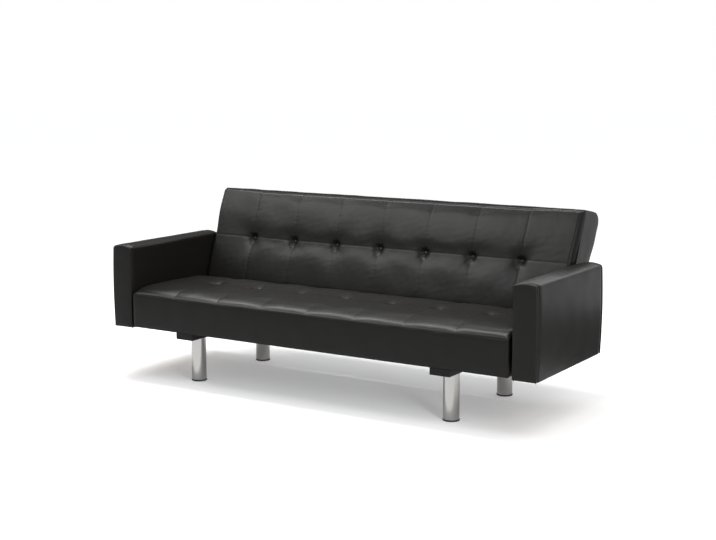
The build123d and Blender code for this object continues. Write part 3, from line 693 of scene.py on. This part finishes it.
# Back cushion: made as the seat cushion, over the front of the leaning back.
# Its buttons are pulled deeper, so its pleats and the swelling between them show more.
back_half, back_length, back_lip = 0.8865, 0.476, 0.015
back_cushion, back_dips = tufted_cushion(
    "back_cushion", half=back_half, length=back_length, lip=back_lip, roll=0.014, tuft=0.251,
    rise=0.003, crown=0.013, nip=0.001, valley=0.002, sink=0.022, gather=0.0026,
    fans=(1.5, 0.65, 1.0), placed=lean, seed=31,
)
settle(back_cushion, "back", ["back_pad"])


# Buttons: fourteen covered upholstery buttons, each a domed steel shell with the cover gathered on its rim.
# A cord through the foam pulls each one into its dip, so the cushion closes round the rim.
def three_point_arc(start, middle, end, steps=12):
    """Points of the arc through three points."""
    start, middle, end = (np.asarray(p, float) for p in (start, middle, end))
    a, b = middle - start, end - start
    d = 2 * (a[0] * b[1] - a[1] * b[0])
    ux = (b[1] * (a @ a) - a[1] * (b @ b)) / d
    uy = (a[0] * (b @ b) - b[0] * (a @ a)) / d
    centre = start + (ux, uy)
    first, mid, last = (math.atan2(*(p - centre)[::-1]) for p in (start, middle, end))
    turn = (last - first) % (2 * math.pi)
    if (mid - first) % (2 * math.pi) > turn:
        turn -= 2 * math.pi
    angles = first + np.linspace(0, turn, steps)
    return centre + np.hypot(*(start - centre)) * np.stack([np.cos(angles), np.sin(angles)], axis=1)


def node_tree_piece(name, source, tree, values, body, nodes=()):
    """Runs a Geometry Nodes tree on a source object and keeps the result as a plain mesh."""
    maker = source.modifiers.new("made", "NODES")
    maker.node_group = tree
    for socket in tree.interface.items_tree:
        if socket.in_out == "INPUT" and socket.name in values:
            maker[socket.identifier] = values[socket.name]
    evaluated = source.evaluated_get(bpy.context.evaluated_depsgraph_get())
    mesh = bpy.data.meshes.new_from_object(evaluated)
    bpy.data.objects.remove(source)
    mesh.name = name
    mesh.shade_smooth()
    piece = bpy.data.objects.new(name, mesh)
    scene.collection.objects.link(piece)
    settle(piece, body, nodes)
    return piece


def open_tree(name, **inputs):
    """A Geometry Nodes tree that takes a geometry and named inputs, and its first node."""
    tree = bpy.data.node_groups.new(name, "GeometryNodeTree")
    for label, kind in {"Geometry": "Geometry", **inputs}.items():
        tree.interface.new_socket(label, in_out="INPUT", socket_type="NodeSocket" + kind)
    tree.interface.new_socket("Geometry", in_out="OUTPUT", socket_type="NodeSocketGeometry")
    return tree, add_node(tree, "NodeGroupInput")


def close_tree(tree, made):
    """Ends a Geometry Nodes tree: what it made becomes a real mesh of faux leather."""
    real = add_node(tree, "GeometryNodeRealizeInstances", {"Geometry": made})
    covered = add_node(tree, "GeometryNodeSetMaterial", {"Geometry": real, "Material": faux_leather})
    add_node(tree, "NodeGroupOutput", {"Geometry": covered})


button_radius, button_dome, gathers = 0.0125, 0.0040, 14
profile = [(0.0, 1.0), (0.25, 0.97), (0.5, 0.86), (0.72, 0.66), (0.88, 0.38), (0.97, 0.08)]
profile += [(1.0, -0.2), (0.97, -0.5), (0.88, -0.75), (0.6, -0.85)]
spokes = np.linspace(0, 2 * math.pi, 2 * gathers + 1)[:-1]
shell_points = [(0.0, 0.0, button_dome)]
for share, level in profile[1:]:
    pinch = 1 - 0.035 * share**6 * (np.arange(len(spokes)) % 2)
    radius = button_radius * share * pinch
    heights = np.full(len(spokes), level * button_dome)
    shell_points += np.stack([radius * np.cos(spokes), radius * np.sin(spokes), heights], axis=1).tolist()
shell_quads = [(0, 1 + i, 1 + (i + 1) % len(spokes)) for i in range(len(spokes))]
for ring in range(len(profile) - 2):
    for i in range(len(spokes)):
        a, b = 1 + ring * len(spokes) + i, 1 + ring * len(spokes) + (i + 1) % len(spokes)
        shell_quads.append((a, a + len(spokes), b + len(spokes), b))
shell_quads.append([1 + (len(profile) - 2) * len(spokes) + i for i in range(len(spokes))])
button_pattern = new_piece("button_pattern", shell_points, shell_quads, faux_leather)

button_tree, given = open_tree("buttons_in_dips", Lean="Vector", Size="Float")
one_button = add_node(button_tree, "GeometryNodeObjectInfo", {"Object": button_pattern})
placed_buttons = add_node(
    button_tree,
    "GeometryNodeInstanceOnPoints",
    {
        "Points": given,
        "Instance": one_button.outputs["Geometry"],
        "Rotation": given.outputs["Lean"],
        "Scale": given.outputs["Size"],
    },
)
close_tree(button_tree, placed_buttons)


def button_row(name, dips, tilt, rise, body, node):
    """One button on each dip of a cushion, tilted with it."""
    up = np.array([0.0, -math.sin(tilt), math.cos(tilt)])
    mesh = bpy.data.meshes.new(name + "_places")
    mesh.from_pydata([tuple(dip + rise * up) for dip in dips], [], [])
    places = bpy.data.objects.new(name + "_places", mesh)
    scene.collection.objects.link(places)
    values = {"Lean": (tilt, 0.0, 0.0), "Size": 1.0}
    buttons = node_tree_piece(name, places, button_tree, values, body, [node])
    store_rub_and_crease_shade(buttons, np.full(len(buttons.data.vertices), 0.8))


button_row("seat_button_row", seat_dips, 0.0, -0.0005, "base", "seat_buttons")
button_row("back_button_row", back_dips, math.pi / 2 - back_lean, 0.0, "back", "back_buttons")
bpy.data.objects.remove(button_pattern)

# Arms: boards and ribs of birch plywood inside, with a padded cover wrapped over them from below.
# Plywood shows its plies as stripes on the edges and a calm, pale face.
birch_plywood, tree = blank_material("birch_plywood")
place = add_node(tree, "ShaderNodeTexCoord").outputs["Object"]
face_run = add_node(
    tree, "ShaderNodeMapping", {"Vector": place, "Scale": (1 / 0.0014, 1 / 0.25, 1 / 0.010)}
)
figure = add_node(tree, "ShaderNodeTexNoise", {"Vector": face_run, "Scale": 1.0, "Detail": 5.0})
tint = add_node(tree, "ShaderNodeValToRGB", {"Fac": figure})
for stop, at, shade in zip(tint.color_ramp.elements, (0.38, 0.6), ("#a9794b", "#dcbd8f")):
    stop.position, stop.color = at, linear(shade)
sanding = add_node(tree, "ShaderNodeBump", {"Height": figure, "Strength": 0.2, "Distance": 0.0003})
shader = add_node(
    tree, "ShaderNodeBsdfPrincipled", {"Base Color": tint, "Roughness": 0.65, "Normal": sanding}
)
add_node(tree, "ShaderNodeOutputMaterial", {"Surface": shader})
finish_nodes(birch_plywood, "arm_inner_boards", "arm_outer_boards", "arm_ribs", "arm_bottom_boards")


# The wrap of each arm goes from its inner bottom edge over the top to the outer bottom edge, over foam.
# A facing closes it in front, sewn in with a welt (a cord in a strip of the same cover), and one behind.
def padded_face(name, outline, spine, place, depth, edge, bulge, groove, body, nodes, seed):
    """A sewn facing: an outline, rounded over at its edge and swelling a little towards its spine."""
    outline = np.asarray(outline, float)
    a, b = np.asarray(spine[0], float), np.asarray(spine[1], float)
    share = np.clip((outline - a) @ (b - a) / ((b - a) @ (b - a)), 0, 1)
    inward = a + share[:, None] * (b - a) - outline
    width = np.linalg.norm(inward, axis=1)
    turn = np.linspace(0, math.pi / 2, 6)
    rise = (depth - edge) * np.linspace(0, 1, 5)[:-1]
    rings = [(groove * np.exp(-((level / 0.003) ** 1.6)) / width, level) for level in rise]
    rings += [(edge * (1 - math.cos(t)) / width, depth - edge + edge * math.sin(t)) for t in turn]
    start = edge / width
    steps = np.linspace(0, 1, 9)[1:]
    rings += [(start + (1 - start) * k, depth + bulge * (1 - (1 - k) ** 2)) for k in steps]
    points = []
    for part, level in rings:
        flat = outline + inward * part[:, None]
        wave = 0.0003 * ripples(flat[:, 0], flat[:, 1], 0.09, seed) * min(1, level / depth) ** 4
        points.append(place(flat[:, 0], flat[:, 1], level + wave))
    count = len(outline)
    faces = []
    for ring in range(len(rings) - 1):
        for i in range(count):
            p, q = ring * count + i, ring * count + (i + 1) % count
            faces.append((p, q, q + count, p + count))
    faces.append(list(range(count - 1, -1, -1)))
    piece = new_piece(name, np.concatenate(points), faces, faux_leather)
    rub_and_edge_shade = np.full(len(piece.data.vertices), 0.6)
    # The two rings in the groove at the facing's edge are painted darker: painted shade.
    rub_and_edge_shade[: 2 * count] = 0.1
    store_rub_and_crease_shade(piece, rub_and_edge_shade)
    settle(piece, body, nodes)


welt_tree, given = open_tree("welt_on_a_seam", Radius="Float")
cord_round = add_node(
    welt_tree, "GeometryNodeCurvePrimitiveCircle", {"Resolution": 10, "Radius": given.outputs["Radius"]}
)
welt_tube = add_node(
    welt_tree, "GeometryNodeCurveToMesh", {"Curve": given, "Profile Curve": cord_round, "Fill Caps": True}
)
close_tree(welt_tree, welt_tube)


def welt(name, path, radius, body):
    """A welt along a seam."""
    line = resample(path, 0.006)
    curve = bpy.data.curves.new(name + "_line", "CURVE")
    curve.dimensions = "3D"
    spline = curve.splines.new("POLY")
    spline.points.add(len(line) - 1)
    for point, place in zip(spline.points, line):
        point.co = (*place, 1.0)
    source = bpy.data.objects.new(name + "_line", curve)
    scene.collection.objects.link(source)
    piece = node_tree_piece(name, source, welt_tree, {"Radius": radius}, body)
    store_rub_and_crease_shade(piece, np.full(len(piece.data.vertices), 1.0))


arm_inner, arm_outer, arm_bottom, arm_shoulder = 0.900, 0.997, 0.210, 0.564
arm_corner, arm_bulge, arm_crown = 0.014, 0.005, 0.005
facing_depth, rear_depth, half_spine, spine_drop = 0.014, 0.008, 0.048, 0.044
welt_radius, welt_sink, loop_step = 0.0018, 0.0040, 0.007
arm_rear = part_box("arm_cover_right")[1].y
bend = arm_corner * (1 - math.sqrt(0.5))
side_top = arm_shoulder - arm_corner
side_middle = (arm_bottom + side_top) / 2
arm_middle = (arm_inner + arm_outer) / 2
top_outer, top_inner = (arm_outer - arm_corner, arm_shoulder), (arm_inner + arm_corner, arm_shoulder)
arm_arcs = [
    ((arm_outer, arm_bottom), (arm_outer + arm_bulge, side_middle), (arm_outer, side_top), 44),
    ((arm_outer, side_top), (arm_outer - bend, arm_shoulder - bend), top_outer, 8),
    (top_outer, (arm_middle, arm_shoulder + arm_crown), top_inner, 12),
    (top_inner, (arm_inner + bend, arm_shoulder - bend), (arm_inner, side_top), 8),
]
arm_parts = [three_point_arc(*arc)[min(index, 1) :] for index, arc in enumerate(arm_arcs)]
arm_outline = np.concatenate([*arm_parts, [(arm_inner, arm_bottom)]])
for side, sign in (("left", -1), ("right", 1)):
    mirrored = arm_outline * (sign, 1)
    outward_path = mirrored[::-1] if sign > 0 else mirrored
    seed = 41 if sign > 0 else 51
    padded_strip(
        f"arm_wrap_{side}",
        outward_path,
        (front + facing_depth, arm_rear - rear_depth),
        along_y,
        bulge=0.0010,
        seed=seed,
        body="base",
        node=f"arm_cover_{side}",
        swell=0.0003,
        thick=0.006,
        groove=0.0050,
    )
    loop = resample(np.concatenate([mirrored, [mirrored[0]]]), loop_step)[:-1]
    spine = ((sign * arm_middle, arm_bottom + half_spine), (sign * arm_middle, arm_shoulder - spine_drop))
    padded_face(
        f"arm_front_facing_{side}",
        loop,
        spine,
        lambda a, b, level: np.stack([a, front + facing_depth - level, b], axis=-1),
        depth=0.013, edge=0.009, bulge=0.0015, groove=0.0045,
        body="base", nodes=[f"arm_facing_{side}"], seed=seed + 3,
    )
    padded_face(
        f"arm_rear_facing_{side}",
        loop,
        spine,
        lambda a, b, level: np.stack([a, arm_rear - rear_depth + level, b], axis=-1),
        depth=0.007, edge=0.005, bulge=0.001, groove=0.002,
        body="base", nodes=[], seed=seed + 4,
    )
    inwards = (arm_middle * sign - mirrored[:, :1]) * (welt_sink / half_spine) * (1, 0)
    sunk = mirrored + inwards - (0, welt_sink)
    path = np.stack([sunk[:, 0], np.full(len(sunk), front + facing_depth), sunk[:, 1]], axis=1)
    welt(f"arm_front_welt_{side}", path, welt_radius, "base")

# Border panels of the back: a boxing over the head, one sheet behind, a strip under the foot and two ends.
# They are the same cover over thin foam and board, sewn to the back cushion and to each other.
foot_thickness, head_thickness, head_overhang, head_radius = 0.121, 0.174, 0.030, 0.040
rear_inset, border_gap, end_inset = 0.0030, 0.004, 0.010
rear_slope = (head_thickness - foot_thickness) / back_length
head_slope = head_overhang / head_thickness
corner_s = (back_length + head_slope * foot_thickness) / (1 - head_slope * rear_slope)
head_corner = np.array([corner_s, -foot_thickness - rear_slope * corner_s])
to_lip = np.array([back_length + head_slope * back_lip, -back_lip]) - head_corner
to_foot = np.array([0.0, -foot_thickness]) - head_corner
to_lip_unit, to_foot_unit = to_lip / np.hypot(*to_lip), to_foot / np.hypot(*to_foot)
half_turn = math.acos(to_lip_unit @ to_foot_unit) / 2
bisector = (to_lip_unit + to_foot_unit) / np.hypot(*(to_lip_unit + to_foot_unit))
arc_start = head_corner + to_lip_unit * head_radius / math.tan(half_turn)
arc_end = head_corner + to_foot_unit * head_radius / math.tan(half_turn)
arc_middle = head_corner + bisector * (head_radius / math.sin(half_turn) - head_radius)
head_arc = three_point_arc(arc_start, arc_middle, arc_end, 10)
head_line = np.concatenate([[head_corner + to_lip], head_arc])
rear_line = np.array([arc_end, head_corner + to_foot]) + (0, rear_inset)
foot_line = np.array([head_corner + to_foot, (0.0, -back_lip)])


def along_back(run, a, b):
    """Places of a strip that runs along the back, with its path in s and v."""
    return lean(np.stack([run, a, b], axis=-1))


border_span = (-back_half + border_gap, back_half - border_gap)
for name, line, bulge, seed, node, swelling in (
    ("back_head_border", head_line, 0.0030, 61, "back_top_panel", 0.0006),
    ("back_rear_border", rear_line, 0.0026, 62, "back_rear_panel", 0.0008),
    ("back_foot_border", foot_line, 0.0020, 63, "back_bottom_panel", 0.0006),
):
    padded_strip(name, line, border_span, along_back, bulge, seed, "back", node, swell=swelling)
end_outline = np.concatenate([[(0.0, -back_lip)], head_line, [head_corner + to_foot]])
end_loop = resample(np.concatenate([end_outline, end_outline[:1]]), loop_step)[:-1]
end_spine = ((0.058, -0.070), (0.412, -0.095))
for side, sign in (("left", -1), ("right", 1)):
    padded_face(
        f"back_end_border_{side}",
        end_loop,
        end_spine,
        lambda a, b, level: lean(np.stack([sign * (back_half - end_inset + level), a, b], axis=-1)),
        depth=0.009, edge=0.005, bulge=0.001, groove=0.0,
        body="back", nodes=[f"back_end_panel_{side}"], seed=64 + sign,
    )

# Studio: a pale floor in a white surround, a wide silk overhead and soft boxes on four sides. Floor and
# surround are white for what looks at them, while the floor still takes the sofa's shadow. Two grey cards,
# seen only in reflections, keep the arms and the seat from mirroring white.
floor_white, tree = blank_material("pale_studio_floor")
rays = add_node(tree, "ShaderNodeLightPath")
looking = {0: rays.outputs["Is Camera Ray"], 1: rays.outputs["Is Glossy Ray"]}
seen = add_node(tree, "ShaderNodeMath", looking, operation="MAXIMUM")
paint = add_node(tree, "ShaderNodeBsdfDiffuse", {"Color": linear("#ececec")})
glow_level = add_node(tree, "ShaderNodeMath", {0: seen, 1: 0.28}, operation="MULTIPLY")
glow = add_node(tree, "ShaderNodeEmission", {"Strength": glow_level})
floor_mix = add_node(tree, "ShaderNodeAddShader", {0: paint, 1: glow})
add_node(tree, "ShaderNodeOutputMaterial", {"Surface": floor_mix})
reach = 30.0
floor_mesh = bpy.data.meshes.new("studio_floor")
floor_mesh.from_pydata(
    [(-reach, -reach, 0), (reach, -reach, 0), (reach, reach, 0), (-reach, reach, 0)], [], [(0, 1, 2, 3)]
)
floor_mesh.materials.append(floor_white)
studio_floor = bpy.data.objects.new("studio_floor", floor_mesh)
scene.collection.objects.link(studio_floor)

dark_card, tree = blank_material("grey_studio_card")
felt = add_node(tree, "ShaderNodeBsdfDiffuse", {"Color": linear("#6c6c6c")})
add_node(tree, "ShaderNodeOutputMaterial", {"Surface": felt})
for name, foot, head, top in (
    ("rear_card", ((-3.9, 1.5), (0.6, 3.9)), ((-3.9, 1.5), (0.6, 3.9)), 2.6),
    ("side_card", ((1.03, 0.45), (2.0, 0.35)), ((1.03, 0.85), (2.0, 0.78)), 0.26),
):
    corners = [(*end, 0.02) for end in foot] + [(*end, top) for end in head]
    card_mesh = bpy.data.meshes.new(name)
    card_mesh.from_pydata(corners, [], [(0, 1, 3, 2)])
    card_mesh.materials.append(dark_card)
    card = bpy.data.objects.new(name, card_mesh)
    card.visible_camera = card.visible_diffuse = card.visible_shadow = False
    scene.collection.objects.link(card)

surround = bpy.data.worlds.new("white_surround")
surround.use_nodes = True
tree = surround.node_tree
tree.nodes.clear()
rays = add_node(tree, "ShaderNodeLightPath")
looking = {0: rays.outputs["Is Camera Ray"], 1: rays.outputs["Is Glossy Ray"]}
seen = add_node(tree, "ShaderNodeMath", looking, operation="MAXIMUM")
looking_through = {0: seen, 1: rays.outputs["Is Transmission Ray"]}
seen = add_node(tree, "ShaderNodeMath", looking_through, operation="MAXIMUM")
room = add_node(tree, "ShaderNodeBackground", {"Color": linear("#f4f6f8"), "Strength": 0.42})
white = add_node(tree, "ShaderNodeBackground", {"Color": linear("#ffffff"), "Strength": 1.0})
backdrop = add_node(tree, "ShaderNodeMixShader", {0: seen, 1: room, 2: white})
add_node(tree, "ShaderNodeOutputWorld", {"Surface": backdrop})
scene.world = surround

sky_data = bpy.data.lights.new("overhead_silk", "SUN")
sky_data.energy = 1.5
sky_data.angle = math.radians(56)
sky = bpy.data.objects.new("overhead_silk", sky_data)
sky.rotation_euler = (math.radians(-1.5), math.radians(5), 0.0)
scene.collection.objects.link(sky)
for name, width, height, power, place, turn in (
    ("front_soft_box", 3.3, 1.5, 118.0, (-1.8, -1.95, 2.9), (42, -36)),
    ("top_soft_box", 3.4, 0.6, 110.0, (-1.0, 0.3, 3.0), (-16, 0)),
    ("right_strip_box", 0.5, 2.8, 62.0, (3.1, -2.3, 1.45), (80, 53)),
    ("rim_strip_box", 2.6, 0.5, 14.0, (0.4, 2.3, 1.9), (-62, 0)),
):
    box_data = bpy.data.lights.new(name, "AREA")
    box_data.shape = "RECTANGLE"
    box_data.size, box_data.size_y = width, height
    box_data.energy = power
    soft_box = bpy.data.objects.new(name, box_data)
    soft_box.location = place
    soft_box.rotation_euler = (math.radians(turn[0]), 0.0, math.radians(turn[1]))
    # The other boxes give highlights only, so that the floor keeps the wide soft shadow of the photograph.
    soft_box.visible_diffuse = name in ("right_strip_box", "top_soft_box")
    scene.collection.objects.link(soft_box)
